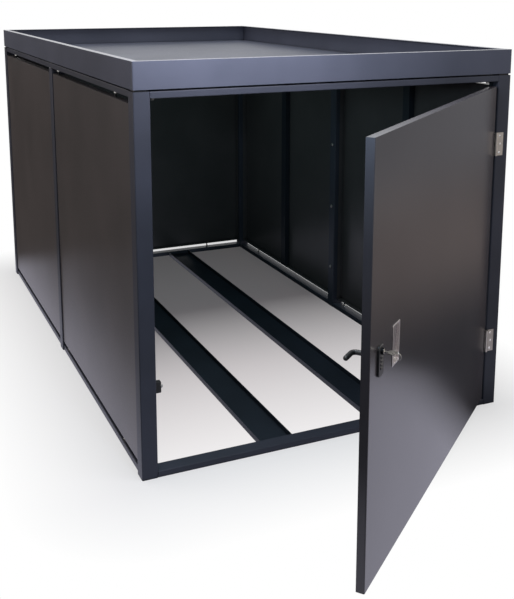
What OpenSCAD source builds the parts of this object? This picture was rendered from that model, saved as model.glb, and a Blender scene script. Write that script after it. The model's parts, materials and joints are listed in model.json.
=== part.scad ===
// Bike shelter: a steel box on posts with a planting tray for a roof and one hinged door.
// Millimetres, +Z up, +X to the right seen from the front, +Y towards the rear wall.
// The origin is on the ground, in the middle of the front sill.

/* [Overall] */
// Width across the outer faces of the corner posts
overall_w = 1300; // [1100:10:1600]
// Depth from the front faces of the front posts to the rear faces of the rear posts
overall_d = 2250; // [1900:10:2600]
// Height from the ground to the rim of the planting tray
overall_h = 1250; // [1150:10:1500]

/* [Posts and rails] */
// Side of the square corner posts
post_w = 50; // [44:1:70]
// Width of the middle posts along the side walls
mid_post_w = 50; // [44:1:90]
// Wall of the post tubes
post_wall = 3; // [2:0.5:5]
// Outer corner radius of the post tubes
post_r = 4; // [2:0.5:8]
// Height of the flat rails
rail_h = 20; // [16:1:30]
// Wall of the rail tubes
rail_wall = 2; // [1:0.5:4]
// Outer corner radius of the rail tubes
rail_r = 2.5; // [1:0.5:5]
// Setback of the side and rear walls from the outer faces of the posts
wall_inset = 4.5; // [2:0.5:10]

/* [Wall panels] */
// Open slot above and below each panel
slot_h = 18; // [12:1:40]
// Depth of the folded edges of a panel
panel_depth = 25; // [18:1:32]
// Sheet thickness of the panels
panel_sheet = 1.5; // [1:0.1:3]
// Outside radius of the folds
fold_r = 3; // [2:0.5:6]
// Width of the stiffening channel inside a panel
stiffener_w = 45; // [30:1:70]
// Sheet thickness of the stiffening channels
stiffener_sheet = 1.5; // [1:0.1:3]
// Diameter of the pins that carry a panel between the rails
pin_d = 10; // [6:1:16]
// Distance of a pin from the upright edge of its panel
pin_inset = 190; // [60:5:300]
// Distance of a pin from the edge beside a middle post
pin_mid_inset = 50; // [30:5:300]

/* [Planting tray] */
// Height of the tray's fascia
tray_h = 80; // [60:1:120]
// Sheet thickness of the tray
tray_sheet = 2; // [1.5:0.1:4]
// Width of the flange turned in around the rim
rim_w = 22; // [12:1:40]
// Outer corner radius of the tray
tray_r = 4; // [2:0.5:10]
// Shadow gap between the frame and the tray
tray_gap = 5; // [3:1:20]
// Side of the square pads that the tray stands on
pad_w = 38; // [24:1:44]
// Width of the cross bearers under the tray
bearer_w = 40; // [25:1:60]
// Wall of the cross bearers
bearer_wall = 2; // [1.5:0.5:4]
// Number of cross bearers
bearer_count = 3; // [1:1:5]

/* [Wheel channels] */
// Outside width of a wheel channel
channel_w = 115; // [70:1:150]
// Height of the channel's lips
channel_h = 18; // [10:1:30]
// Sheet thickness of the channels
channel_sheet = 2; // [1.5:0.5:4]
// Centre of the left channel, left of the middle of the sill
channel_left_x = 185; // [120:5:350]
// Centre of the right channel, right of the middle of the sill
channel_right_x = 230; // [120:5:350]

/* [Door] */
// Angle by which the door stands open
door_open = 39; // [0:1:100]
// Thickness of the door leaf
door_depth = 22; // [20:1:35]
// Sheet thickness of the door leaf
door_sheet = 1.5; // [1:0.1:3]
// Width of the flange turned in around the back of the leaf
door_lip = 18; // [10:1:30]
// Gap between the hinge post and the leaf
hinge_gap = 5; // [4:0.5:8]
// Gap between the free edge of the leaf and the other post
free_gap = 6; // [5:0.5:12]
// Gap between the sill and the leaf
sill_gap = 10; // [5:1:25]
// Gap between the leaf and the header
header_gap = 16; // [5:1:30]

/* [Hinges] */
// Height of a hinge
hinge_h = 78; // [50:1:120]
// Width of the hinge leaf on the post
hinge_leaf_w = 31; // [20:1:40]
// Thickness of the hinge leaves
hinge_leaf_t = 2.5; // [1.5:0.1:3]
// Radius of the hinge knuckles
knuckle_r = 5; // [4:0.5:8]
// Radius of the hinge pin
hinge_pin_r = 2.5; // [1.5:0.1:3]
// Distance of the upper hinge's middle from the top of the leaf
hinge_upper_drop = 194; // [80:1:350]
// Distance of the lower hinge's middle from the bottom of the leaf
hinge_lower_rise = 210; // [80:1:350]
// Radius of the countersunk heads of the hinge screws
hinge_screw_r = 4.2; // [3:0.1:5]
// Distance of the outer screws from the ends of the hinge leaf
hinge_screw_margin = 11; // [8:1:20]
// How far the middle screw is set off from the outer two
hinge_screw_stagger = 3; // [0:0.5:6]

/* [Lock] */
// How far the lock's middle lies above the middle of the leaf
lock_rise = 16; // [0:1:150]
// Distance of the lock's middle line from the free edge
lock_setback = 67; // [60:1:80]
// Width of the escutcheon
escutcheon_w = 34; // [26:1:40]
// Height of the escutcheon
escutcheon_h = 78; // [70:1:110]
// Thickness of the escutcheon
escutcheon_t = 5; // [3:0.5:12]
// Height of the lock cylinder above the lock's middle
cylinder_up = 24; // [15:1:26]
// Radius of the lock cylinder
cylinder_r = 8.5; // [7:0.5:10]
// Radius of the plug that turns in the cylinder
plug_r = 6; // [4:0.5:6]
// How far the cylinder stands out of the escutcheon
cylinder_proud = 6; // [1:0.5:10]
// Width of the lock case inside the leaf
case_w = 66; // [60:1:72]
// Height of the lock case
case_h = 130; // [110:1:200]
// Radius of the key's bow
bow_r = 12.5; // [10:0.5:16]
// Thickness of the key
key_t = 2; // [1.5:0.1:3]
// Free length of the key's shank
key_shank = 8; // [4:0.5:12]
// Radius of the hole in the bow
key_hole_r = 4; // [3:0.5:5]
// Width of the web between the hole and the end of the bow
key_web = 3; // [2:0.5:4]
// Radius of the key ring
ring_r = 9.5; // [8:0.5:16]
// Radius of the key ring's wire
ring_wire_r = 0.9; // [0.6:0.1:1.2]

/* [Handles] */
// Distance of the flush pull's middle from the free edge
pull_setback = 184; // [135:1:220]
// Width of the flush pull's rim
pull_w = 54; // [40:1:60]
// Height of the flush pull's rim
pull_h = 106; // [70:1:140]
// Width of the rim round the pull's cup
pull_rim = 5; // [3:0.5:8]
// Thickness of the pull's sheet
pull_sheet = 1.5; // [1:0.1:2]
// Depth of the pull's cup behind the face of the leaf
pull_depth = 14; // [8:1:16]
// Corner radius of the pull's rim
pull_r = 4; // [2:0.5:8]
// How far the lever sits above the lock's middle
lever_up = 9; // [0:1:30]
// Reach of the lever's neck behind the leaf
lever_reach = 45; // [30:1:60]
// Length of the lever's grip from its neck
lever_grip = 44; // [30:1:55]
// Thickness of the lever
lever_t = 13; // [10:0.5:16]
// Radius of the bend between the lever's neck and grip
lever_bend_r = 12; // [9:1:25]
// Radius of the rose that the lever turns in
rose_r = 15; // [12:0.5:18]
// Thickness of the rose
rose_t = 6; // [4:0.5:10]

/* [Stop and brackets] */
// How far the door stop stands out of the post
stop_w = 24; // [12:1:30]
// Depth of the door stop
stop_depth = 18; // [10:1:20]
// Height of the door stop
stop_h = 36; // [20:1:60]
// Height of the stop's middle above the ground
stop_z = 275; // [150:5:500]
// Gap between the closed leaf and what stands behind it
stop_gap = 5; // [5:0.5:8]
// Leg of the header brackets along the header
bracket_w = 27; // [20:1:50]
// Leg of the header brackets along the post
bracket_h = 35; // [20:1:60]
// Depth of the header brackets
bracket_depth = 18; // [10:1:20]
// Thickness of the header brackets
bracket_t = 3; // [2:0.5:5]

/* [Hidden] */
$fn = 64;

// Small overlap that a cut runs past a face
cut = 1;
// Running clearance of pins, plugs and spindles in their bores
run_gap = 0.05;
// Clearance between knuckles, and between curved faces of different bodies
knuckle_gap = 0.4;

// Planes of the frame
front_y = -post_w / 2;
rear_y = front_y + overall_d;
mid_y = (front_y + rear_y) / 2;
post_x = overall_w / 2 - post_w / 2;
post_in_x = overall_w / 2 - post_w;
post_top = overall_h - tray_h - tray_gap;
header_z = post_top - rail_h;
wall_rail_w = post_w - wall_inset;
wall_rail_x = overall_w / 2 - wall_inset - wall_rail_w / 2;
wall_rail_y = rear_y - wall_inset - wall_rail_w / 2;

// Wall panels
panel_z = rail_h + slot_h;
panel_h = header_z - slot_h - panel_z;
side_panel_w = (overall_d - 2 * post_w - mid_post_w) / 2;
side_panel_y = mid_post_w / 2 + side_panel_w / 2;
rear_panel_w = overall_w - 2 * post_w;
wall_x = overall_w / 2 - wall_inset;
wall_y = rear_y - wall_inset;

// Door, in the place where it is closed
door_x0 = -post_in_x + free_gap;
door_x1 = post_in_x - hinge_gap;
door_w = door_x1 - door_x0;
door_z = rail_h + sill_gap;
door_h = header_z - header_gap - door_z;
door_back_y = front_y + door_depth;
stop_y = door_back_y + stop_gap;
axis_x = post_in_x - hinge_gap / 2;
axis_y = front_y - knuckle_r - knuckle_gap;
knuckle_h = hinge_h / 5;
hinge_upper_z = door_z + door_h - hinge_upper_drop;
hinge_lower_z = door_z + hinge_lower_rise;
lock_z = door_z + door_h / 2 + lock_rise;
lock_x = door_x0 + lock_setback;
cylinder_z = lock_z + cylinder_up;
cylinder_y = front_y - escutcheon_t - cylinder_proud;
pull_x = door_x0 + pull_setback;
cup_w = pull_w - 2 * pull_rim;
cup_h = pull_h - 2 * pull_rim;
lever_z = lock_z + lever_up;

coat = "#50525c";
coat_dark = "#33363f";
steel = "#a09a95";
black = "#1c1d20";

// Rectangle with round corners, centred
module rounded(w, d, r) {
    square([w - 2 * r, d], center = true);
    square([w, d - 2 * r], center = true);
    for (sx = [-1, 1], sy = [-1, 1])
        translate([sx * (w / 2 - r), sy * (d / 2 - r)]) circle(r);
}

// Section of a drawn rectangular tube
module tube_section(w, d, wall, r) {
    difference() {
        rounded(w, d, r);
        rounded(w - 2 * wall, d - 2 * wall, max(r - wall, wall / 4));
    }
}

// Upright post, standing on the ground
module post(x, y, w, d, h) {
    color(coat) translate([x, y, 0]) linear_extrude(h) tube_section(w, d, post_wall, post_r);
}

// Flat rail along X, its underside at z
module cross_rail(y, z, length, depth) {
    color(coat_dark) translate([0, y, z + rail_h / 2]) rotate([90, 0, 90])
        linear_extrude(length, center = true) tube_section(depth, rail_h, rail_wall, rail_r);
}

// Flat rail along Y, its underside at z
module side_rail(x, y, z, length) {
    color(coat_dark) translate([x, y, z + rail_h / 2]) rotate([90, 0, 0])
        linear_extrude(length, center = true) tube_section(wall_rail_w, rail_h, rail_wall, rail_r);
}

// Outline of a pan seen from above: its face on the X axis, its folds rounded
module pan_outline(w, depth, r) {
    translate([-w / 2, r]) square([w, depth - r]);
    translate([-w / 2 + r, 0]) square([w - 2 * r, depth]);
    for (s = [-1, 1]) translate([s * (w / 2 - r), r]) circle(r);
}

// Sheet pan: face at y = 0, all four edges folded back
module pan(w, h, depth, sheet, r) {
    linear_extrude(h) difference() {
        pan_outline(w, depth, r);
        translate([0, sheet]) pan_outline(w - 2 * sheet, depth, max(r - sheet, sheet / 4));
    }
    for (z = [0, h - sheet]) translate([0, 0, z]) linear_extrude(sheet) pan_outline(w, depth, r);
}

// Channel that stiffens a pan, open towards the sheet
module stiffener(h, depth, sheet) {
    translate([0, sheet, sheet]) linear_extrude(h - 2 * sheet) difference() {
        translate([-stiffener_w / 2, 0]) square([stiffener_w, depth]);
        translate([-stiffener_w / 2 + stiffener_sheet, -cut])
            square([stiffener_w - 2 * stiffener_sheet, depth - stiffener_sheet + cut]);
    }
}

// Places a wall piece: s = -1 on the left wall, 1 on the right, at y along it
module on_side(s, y) {
    translate([s * wall_x, y, panel_z]) rotate(90 * s) children();
}

module on_rear() {
    translate([0, wall_y, panel_z]) rotate(180) children();
}

module wall_panel(w) {
    color(coat) pan(w, panel_h, panel_depth, panel_sheet, fold_r);
}

module post_front_left() post(-post_x, 0, post_w, post_w, post_top);
module post_front_right() post(post_x, 0, post_w, post_w, post_top);
module post_mid_left() post(-post_x, mid_y, post_w, mid_post_w, header_z);
module post_mid_right() post(post_x, mid_y, post_w, mid_post_w, header_z);
module post_rear_left() post(-post_x, rear_y - post_w / 2, post_w, post_w, post_top);
module post_rear_right() post(post_x, rear_y - post_w / 2, post_w, post_w, post_top);

module sill() cross_rail(0, 0, rear_panel_w, post_w);
module rail_rear() cross_rail(wall_rail_y, 0, rear_panel_w, wall_rail_w);
module rail_left_front() side_rail(-wall_rail_x, mid_y - side_panel_y, 0, side_panel_w);
module rail_left_rear() side_rail(-wall_rail_x, mid_y + side_panel_y, 0, side_panel_w);
module rail_right_front() side_rail(wall_rail_x, mid_y - side_panel_y, 0, side_panel_w);
module rail_right_rear() side_rail(wall_rail_x, mid_y + side_panel_y, 0, side_panel_w);

module header_front() cross_rail(0, header_z, rear_panel_w, post_w);
module header_rear() cross_rail(wall_rail_y, header_z, rear_panel_w, wall_rail_w);
module header_left() side_rail(-wall_rail_x, mid_y, header_z, overall_d - 2 * post_w);
module header_right() side_rail(wall_rail_x, mid_y, header_z, overall_d - 2 * post_w);

module panel_left_front() on_side(-1, mid_y - side_panel_y) wall_panel(side_panel_w);
module panel_left_rear() on_side(-1, mid_y + side_panel_y) wall_panel(side_panel_w);
module panel_right_front() on_side(1, mid_y - side_panel_y) wall_panel(side_panel_w);
module panel_right_rear() on_side(1, mid_y + side_panel_y) wall_panel(side_panel_w);
module panel_rear() on_rear() wall_panel(rear_panel_w);

// One channel down the middle of each panel
module panel_stiffeners() {
    color(coat_dark) {
        for (s = [-1, 1], k = [-1, 1])
            on_side(s, mid_y + k * side_panel_y) stiffener(panel_h, panel_depth - panel_sheet, panel_sheet);
        on_rear() stiffener(panel_h, panel_depth - panel_sheet, panel_sheet);
    }
}

// Two pins of one panel, in the slots above and below it
module pin_pair(x) {
    for (z = [-slot_h, panel_h]) translate([x, panel_depth / 2, z]) cylinder(d = pin_d, h = slot_h);
}

module panel_pins() {
    color(steel) {
        for (s = [-1, 1], k = [-1, 1]) on_side(s, mid_y + k * side_panel_y) {
            pin_pair(s * k * (side_panel_w / 2 - pin_inset));
            pin_pair(s * k * (pin_mid_inset - side_panel_w / 2));
        }
        for (k = [-1, 1]) on_rear() pin_pair(k * (rear_panel_w / 2 - pin_inset));
    }
}

// Cross tubes between the side headers, up to the underside of the tray
module tray_bearers() {
    bearer_h = rail_h + tray_gap;
    color(coat_dark) for (i = [1 : bearer_count])
        translate([0, front_y + i * overall_d / (bearer_count + 1), header_z + bearer_h / 2])
            rotate([90, 0, 90]) linear_extrude(2 * post_in_x, center = true)
                tube_section(bearer_w, bearer_h, bearer_wall, rail_r);
}

// Pads over the six posts
module tray_pads() {
    color(black) for (s = [-1, 1], y = [0, mid_y, rear_y - post_w / 2])
        translate([s * post_x - pad_w / 2, y - pad_w / 2, post_top]) cube([pad_w, pad_w, tray_gap]);
}

// Folded tray: floor, fascia and the flange turned in round the rim
module planting_tray() {
    color(coat) translate([0, mid_y, overall_h - tray_h]) {
        linear_extrude(tray_sheet) rounded(overall_w, overall_d, tray_r);
        linear_extrude(tray_h) tube_section(overall_w, overall_d, tray_sheet, tray_r);
        translate([0, 0, tray_h - tray_sheet]) linear_extrude(tray_sheet)
            tube_section(overall_w, overall_d, rim_w, tray_r);
    }
}

// Channel for a wheel, from the sill to the rear rail
module wheel_channel(x) {
    color(coat_dark) translate([x, mid_y, 0]) rotate([90, 0, 0])
        linear_extrude(overall_d - 2 * post_w, center = true) difference() {
            translate([-channel_w / 2, 0]) square([channel_w, channel_h]);
            translate([-channel_w / 2 + channel_sheet, channel_sheet])
                square([channel_w - 2 * channel_sheet, channel_h]);
        }
}

module wheel_channel_left() wheel_channel(-channel_left_x);
module wheel_channel_right() wheel_channel(channel_right_x);

// Block on the inner face of the free post, behind the closed leaf
module door_stop() {
    color(black) translate([-post_in_x, stop_y, stop_z - stop_h / 2]) cube([stop_w, stop_depth, stop_h]);
}

// Angles between the front posts and the header
module header_brackets() {
    color(coat_dark) for (s = [-1, 1])
        translate([s * post_in_x, stop_y, header_z]) rotate([90, 180, 0]) mirror([s < 0 ? 1 : 0, 0, 0])
            translate([0, 0, -bracket_depth]) linear_extrude(bracket_depth) {
                square([bracket_w, bracket_t]);
                square([bracket_t, bracket_h]);
            }
}

// Turns a piece of the door from its closed place to its open one
module on_door() {
    translate([axis_x, axis_y, 0]) rotate(door_open) translate([-axis_x, -axis_y, 0]) children();
}

// Knuckles of one hinge: the post carries the odd ones, the door the even ones
module knuckles(z, first, last) {
    for (i = [first : 2 : last])
        translate([axis_x, axis_y, z - hinge_h / 2 + i * knuckle_h + knuckle_gap / 2])
            cylinder(r = knuckle_r, h = knuckle_h - knuckle_gap);
}

// Room for the other leaf's knuckles
module knuckle_room(z, first, last) {
    for (i = [first : 2 : last])
        translate([axis_x, axis_y, z - hinge_h / 2 + i * knuckle_h - knuckle_gap / 2])
            cylinder(r = knuckle_r + knuckle_gap, h = knuckle_h + knuckle_gap);
}

module pin_bore(z) {
    translate([axis_x, axis_y, z - hinge_h / 2 - cut]) cylinder(r = hinge_pin_r + run_gap, h = hinge_h + 2 * cut);
}

// Three countersunk screw holes in the post's leaf, the middle one set off
module screw_holes(z) {
    for (k = [-1, 0, 1])
        translate([axis_x + (knuckle_r + hinge_leaf_w) / 2 + (k == 0 ? 0.5 : -0.5) * hinge_screw_stagger,
                   front_y, z + k * (hinge_h / 2 - hinge_screw_margin)]) rotate([90, 0, 0]) {
            translate([0, 0, -cut]) cylinder(r = hinge_screw_r / 2, h = hinge_leaf_t + 2 * cut);
            translate([0, 0, hinge_leaf_t - hinge_screw_r / 2])
                cylinder(r1 = hinge_screw_r / 2, r2 = hinge_screw_r + cut, h = hinge_screw_r / 2 + cut);
        }
}

// Leaf on the front face of the hinge post, with three knuckles
module hinge_post_leaf(z) {
    color(steel) difference() {
        union() {
            knuckles(z, 0, 4);
            difference() {
                translate([axis_x, front_y - hinge_leaf_t, z - hinge_h / 2])
                    cube([hinge_leaf_w, hinge_leaf_t, hinge_h]);
                knuckle_room(z, 1, 3);
            }
        }
        pin_bore(z);
        screw_holes(z);
    }
}

// Leaf on the edge of the door, with two knuckles
module hinge_door_leaf(z) {
    color(steel) on_door() difference() {
        union() {
            knuckles(z, 1, 3);
            difference() {
                translate([door_x1, axis_y, z - hinge_h / 2])
                    cube([hinge_leaf_t, door_back_y - door_sheet - axis_y, hinge_h]);
                knuckle_room(z, 0, 4);
            }
        }
        pin_bore(z);
    }
}

module hinge_pin(z) {
    color(steel) translate([axis_x, axis_y, z - hinge_h / 2]) cylinder(r = hinge_pin_r, h = hinge_h);
}

module hinge_upper_post_leaf() hinge_post_leaf(hinge_upper_z);
module hinge_lower_post_leaf() hinge_post_leaf(hinge_lower_z);
module hinge_upper_pin() hinge_pin(hinge_upper_z);
module hinge_lower_pin() hinge_pin(hinge_lower_z);
module hinge_upper_door_leaf() hinge_door_leaf(hinge_upper_z);
module hinge_lower_door_leaf() hinge_door_leaf(hinge_lower_z);

// Door pan with a flange turned in round its back, cut out for the lock and the pull
module door_leaf() {
    color(coat) on_door() difference() {
        translate([door_x0 + door_w / 2, front_y, door_z]) {
            pan(door_w, door_h, door_depth, door_sheet, fold_r);
            translate([0, door_depth, door_h / 2]) rotate([90, 0, 0]) linear_extrude(door_sheet)
                difference() {
                    square([door_w, door_h], center = true);
                    square([door_w - 2 * door_lip, door_h - 2 * door_lip], center = true);
                }
        }
        translate([lock_x, front_y + door_sheet + cut, cylinder_z]) rotate([90, 0, 0])
            cylinder(r = cylinder_r + run_gap, h = door_sheet + 2 * cut);
        translate([pull_x, front_y + door_sheet + cut, lock_z]) rotate([90, 0, 0])
            linear_extrude(door_sheet + 2 * cut)
                rounded(cup_w + 2 * pull_sheet, cup_h + 2 * pull_sheet, pull_r);
    }
}

module door_stiffener() {
    color(coat_dark) on_door() translate([door_x0 + door_w / 2, front_y, door_z])
        stiffener(door_h, door_depth - 2 * door_sheet, door_sheet);
}

// Mortice case behind the sheet, with the rose that the lever turns in
module lock_case() {
    color(black) on_door() difference() {
        union() {
            translate([lock_x - case_w / 2, front_y + door_sheet, lock_z - case_h / 2])
                cube([case_w, door_depth - 2 * door_sheet, case_h]);
            translate([lock_x, door_back_y + rose_t, lever_z]) rotate([90, 0, 0])
                cylinder(r = rose_r, h = rose_t + 2 * door_sheet);
        }
        translate([lock_x, door_back_y + rose_t + cut, lever_z]) rotate([90, 0, 0])
            cylinder(r = lever_t / 2 + run_gap, h = rose_t + door_depth / 2 + cut);
    }
}

module escutcheon() {
    color(black) on_door() translate([lock_x, front_y, lock_z]) rotate([90, 0, 0])
        difference() {
            linear_extrude(escutcheon_t) rounded(escutcheon_w, escutcheon_h, escutcheon_w / 3);
            translate([0, cylinder_up, -cut]) cylinder(r = cylinder_r + run_gap, h = escutcheon_t + 2 * cut);
        }
}

// Cylinder housing from the lock case out through the sheet and the escutcheon
module lock_cylinder() {
    length = escutcheon_t + cylinder_proud + door_sheet;
    color(black) on_door() translate([lock_x, front_y + door_sheet, cylinder_z]) rotate([90, 0, 0])
        difference() {
            cylinder(r = cylinder_r, h = length);
            translate([0, 0, door_sheet]) cylinder(r = plug_r + run_gap, h = length);
        }
}

// Key in its plug, its bow lying flat, with the ring hanging through the bow's outer end
module key() {
    bow_y = cylinder_y - key_shank - bow_r;
    web_y = bow_y - bow_r + key_web / 2;
    hole_y = bow_y - bow_r + key_web + key_hole_r;
    ring_z = cylinder_z + key_t / 2 + knuckle_gap / 2 - (ring_r - ring_wire_r);
    color(steel) on_door() {
        translate([lock_x, front_y - knuckle_gap, cylinder_z]) rotate([90, 0, 0])
            cylinder(r = plug_r, h = escutcheon_t + cylinder_proud - knuckle_gap);
        difference() {
            translate([lock_x, bow_y, cylinder_z - key_t / 2]) {
                cylinder(r = bow_r, h = key_t);
                translate([-plug_r / 2, 0, 0]) cube([plug_r, bow_r + key_shank + cut, key_t]);
            }
            translate([lock_x, hole_y, cylinder_z - key_t]) cylinder(r = key_hole_r, h = 2 * key_t);
        }
        translate([lock_x, web_y, ring_z]) rotate([0, 90, 0])
            rotate_extrude() translate([ring_r, 0]) circle(ring_wire_r);
    }
}

// Recessed stainless cup for the fingers, its rim on the face of the leaf
module flush_pull() {
    color(steel) on_door() translate([pull_x, front_y, lock_z]) rotate([90, 0, 0]) difference() {
        union() {
            linear_extrude(pull_sheet) rounded(pull_w, pull_h, pull_r);
            translate([0, 0, -pull_depth]) linear_extrude(pull_depth + pull_sheet)
                rounded(cup_w + 2 * pull_sheet - 2 * run_gap, cup_h + 2 * pull_sheet - 2 * run_gap, pull_r);
        }
        translate([0, 0, -pull_depth + pull_sheet]) linear_extrude(pull_depth + cut)
            rounded(cup_w, cup_h, pull_r);
    }
}

// Lever on the inner side: spindle in the rose, neck, bend and a grip towards the free edge
module lever() {
    spindle = door_depth / 2 - knuckle_gap;
    color(black) on_door() translate([lock_x, door_back_y, lever_z]) {
        translate([0, -spindle, 0]) rotate([-90, 0, 0])
            cylinder(r = lever_t / 2, h = spindle + lever_reach - lever_bend_r);
        translate([-lever_bend_r, lever_reach - lever_bend_r, 0])
            rotate_extrude(angle = 90) translate([lever_bend_r, 0]) circle(lever_t / 2);
        translate([-lever_grip, lever_reach, 0]) {
            rotate([0, 90, 0]) cylinder(r = lever_t / 2, h = lever_grip - lever_bend_r);
            sphere(r = lever_t / 2);
        }
    }
}

post_front_left();
post_front_right();
post_mid_left();
post_mid_right();
post_rear_left();
post_rear_right();
sill();
rail_rear();
rail_left_front();
rail_left_rear();
rail_right_front();
rail_right_rear();
header_front();
header_rear();
header_left();
header_right();
panel_left_front();
panel_left_rear();
panel_right_front();
panel_right_rear();
panel_rear();
panel_stiffeners();
panel_pins();
tray_bearers();
tray_pads();
planting_tray();
wheel_channel_left();
wheel_channel_right();
door_stop();
header_brackets();
hinge_upper_post_leaf();
hinge_lower_post_leaf();
hinge_upper_pin();
hinge_lower_pin();
hinge_upper_door_leaf();
hinge_lower_door_leaf();
door_leaf();
door_stiffener();
lock_case();
escutcheon();
lock_cylinder();
key();
flush_pull();
lever();
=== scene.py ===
import json
import math

import bmesh
import bpy
from mathutils import Matrix, Vector


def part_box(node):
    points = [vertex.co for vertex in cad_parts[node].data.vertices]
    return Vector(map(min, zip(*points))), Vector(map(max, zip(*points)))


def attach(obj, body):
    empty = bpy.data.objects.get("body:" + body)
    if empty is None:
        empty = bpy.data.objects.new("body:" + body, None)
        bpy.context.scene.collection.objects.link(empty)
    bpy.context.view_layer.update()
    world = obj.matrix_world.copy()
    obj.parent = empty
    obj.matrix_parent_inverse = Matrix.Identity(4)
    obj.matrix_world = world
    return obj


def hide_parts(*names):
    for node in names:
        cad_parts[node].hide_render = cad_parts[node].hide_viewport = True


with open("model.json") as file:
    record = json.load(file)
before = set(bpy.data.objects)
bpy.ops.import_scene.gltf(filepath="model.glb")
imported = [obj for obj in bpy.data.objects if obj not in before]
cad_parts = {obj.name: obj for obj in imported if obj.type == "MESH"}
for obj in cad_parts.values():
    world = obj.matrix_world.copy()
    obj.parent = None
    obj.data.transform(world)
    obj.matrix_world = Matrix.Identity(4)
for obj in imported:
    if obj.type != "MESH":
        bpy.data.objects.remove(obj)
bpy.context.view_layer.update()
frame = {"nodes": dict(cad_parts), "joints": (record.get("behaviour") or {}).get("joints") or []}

# Camera, in front of the left corner and a little above the roof, about 1.4 m from the ground.
# The lens is shifted down, which keeps the posts nearly parallel in the picture.
picture_width_px = 514
picture_height_px = 599
focal_px = 903.3
axis_row_px = 160
camera_place = (-1.347, -2.424, 1.439)
camera_heading_deg = 24.07
camera_dip_deg = 10.59
camera_data = bpy.data.cameras.new("studio_camera")
camera_data.sensor_fit = "VERTICAL"
camera_data.sensor_height = 36
camera_data.sensor_width = camera_data.sensor_height * picture_width_px / picture_height_px
camera_data.lens = camera_data.sensor_height * focal_px / picture_height_px
camera_data.shift_y = axis_row_px / picture_height_px - 0.5
camera = bpy.data.objects.new("studio_camera", camera_data)
camera.location = camera_place
camera.rotation_euler = (math.radians(90 - camera_dip_deg), 0, math.radians(-camera_heading_deg))
bpy.context.scene.collection.objects.link(camera)
bpy.context.scene.camera = camera
bpy.context.scene.view_settings.view_transform = "Standard"

# Posts, sill, rails and headers: square and flat steel tube, cut square and welded into a box.
# They are powder-coated in satin anthracite, which looks bluish where the light falls on it squarely.
MIX_FACTOR, MIX_FIRST, MIX_SECOND, MIX_RESULT = 0, 6, 7, 2


def linear(code):
    """The linear colour of an sRGB hex value."""
    shares = [int(code[i:i + 2], 16) / 255 for i in (1, 3, 5)]
    return [s / 12.92 if s <= 0.04045 else ((s + 0.055) / 1.055) ** 2.4 for s in shares] + [1.0]


def add_node(tree, kind, sockets, **settings):
    """Adds a node with its settings, and fills its sockets with numbers or with other nodes' outputs."""
    node = tree.nodes.new(kind)
    for name, value in settings.items():
        setattr(node, name, value)
    for key, value in sockets.items():
        if isinstance(value, bpy.types.NodeSocket):
            tree.links.new(value, node.inputs[key])
        else:
            node.inputs[key].default_value = value
    return node


def powder_coat(name, thin, thick, wave_mm, sheen, peel_um, nook_mm, gleam):
    """Polyester powder baked on steel: a satin skin with a slight orange peel, and painted shade in the
    joints.
    """
    material = bpy.data.materials.new(name)
    material.use_nodes = True
    tree = material.node_tree
    shader = tree.nodes["Principled BSDF"]
    place = add_node(tree, "ShaderNodeTexCoord", {}).outputs["Object"]
    # Clouds of thinner and thicker coat, about 240 mm across.
    cloud_size_mm = 240
    cloud = add_node(tree, "ShaderNodeTexNoise", {
        "Vector": place, "Scale": 1000 / cloud_size_mm, "Detail": 4.0})
    tone = add_node(tree, "ShaderNodeMapRange", {
        "Value": cloud.outputs["Fac"], "From Min": 0.35, "From Max": 0.65})
    skin = add_node(tree, "ShaderNodeMix", {
        MIX_FACTOR: tone.outputs["Result"], MIX_FIRST: linear(thick), MIX_SECOND: linear(thin)},
        data_type="RGBA")
    # Painted shade: the coat is darkened in the joints, close to the next piece, where shade falls.
    painted_joint_shade = linear("#0b0c0e")
    nook = add_node(tree, "ShaderNodeAmbientOcclusion", {"Distance": nook_mm / 1000}, samples=6)
    dusk = add_node(tree, "ShaderNodeMapRange", {
        "Value": nook.outputs["AO"], "From Min": 0.35, "From Max": 0.85, "To Min": 0.75, "To Max": 0.0})
    paint = add_node(tree, "ShaderNodeMix", {
        MIX_FACTOR: dusk.outputs["Result"], MIX_FIRST: skin.outputs[MIX_RESULT], MIX_SECOND: painted_joint_shade},
        data_type="RGBA")
    # Orange peel is 1 to 2 mm across on the real coat: 5 mm here, so that it still shows at this distance.
    peel_size_mm = 5
    sheen_spread = 0.03
    peel = add_node(tree, "ShaderNodeTexNoise", {
        "Vector": place, "Scale": 1000 / peel_size_mm, "Detail": 2.0})
    gloss = add_node(tree, "ShaderNodeMapRange", {
        "Value": peel.outputs["Fac"], "From Min": 0.3, "From Max": 0.7,
        "To Min": sheen - sheen_spread, "To Max": sheen + sheen_spread})
    # Rolled sheet is never quite flat: long shallow waves, about half a metre from crest to crest.
    wave_size_mm = 520
    wave = add_node(tree, "ShaderNodeTexNoise", {
        "Vector": place, "Scale": 1000 / wave_size_mm, "Detail": 1.0})
    bent = add_node(tree, "ShaderNodeBump", {"Distance": wave_mm / 1000, "Height": wave.outputs["Fac"]})
    grain = add_node(tree, "ShaderNodeBump", {
        "Distance": peel_um / 1000000, "Height": peel.outputs["Fac"], "Normal": bent.outputs["Normal"]})
    tree.links.new(paint.outputs[MIX_RESULT], shader.inputs["Base Color"])
    tree.links.new(gloss.outputs["Result"], shader.inputs["Roughness"])
    tree.links.new(grain.outputs["Normal"], shader.inputs["Normal"])
    shader.inputs["Specular IOR Level"].default_value = gleam
    return material


def dress(material, names):
    """Gives frame nodes a finished material in place of their plain one."""
    for name in names:
        for slot in frame["nodes"][name].material_slots:
            slot.material = material


frame_coat = powder_coat("satin_powder_coat_on_tube", "#434651", "#3c3f48",
                         wave_mm=0.2, sheen=0.40, peel_um=40, nook_mm=12, gleam=0.15)
# The brackets under the header share the start of its name, and get a coat of their own further on.
dress(frame_coat, [name for name in frame["nodes"] if name.startswith(("post_", "sill", "rail_", "header_"))])
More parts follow.
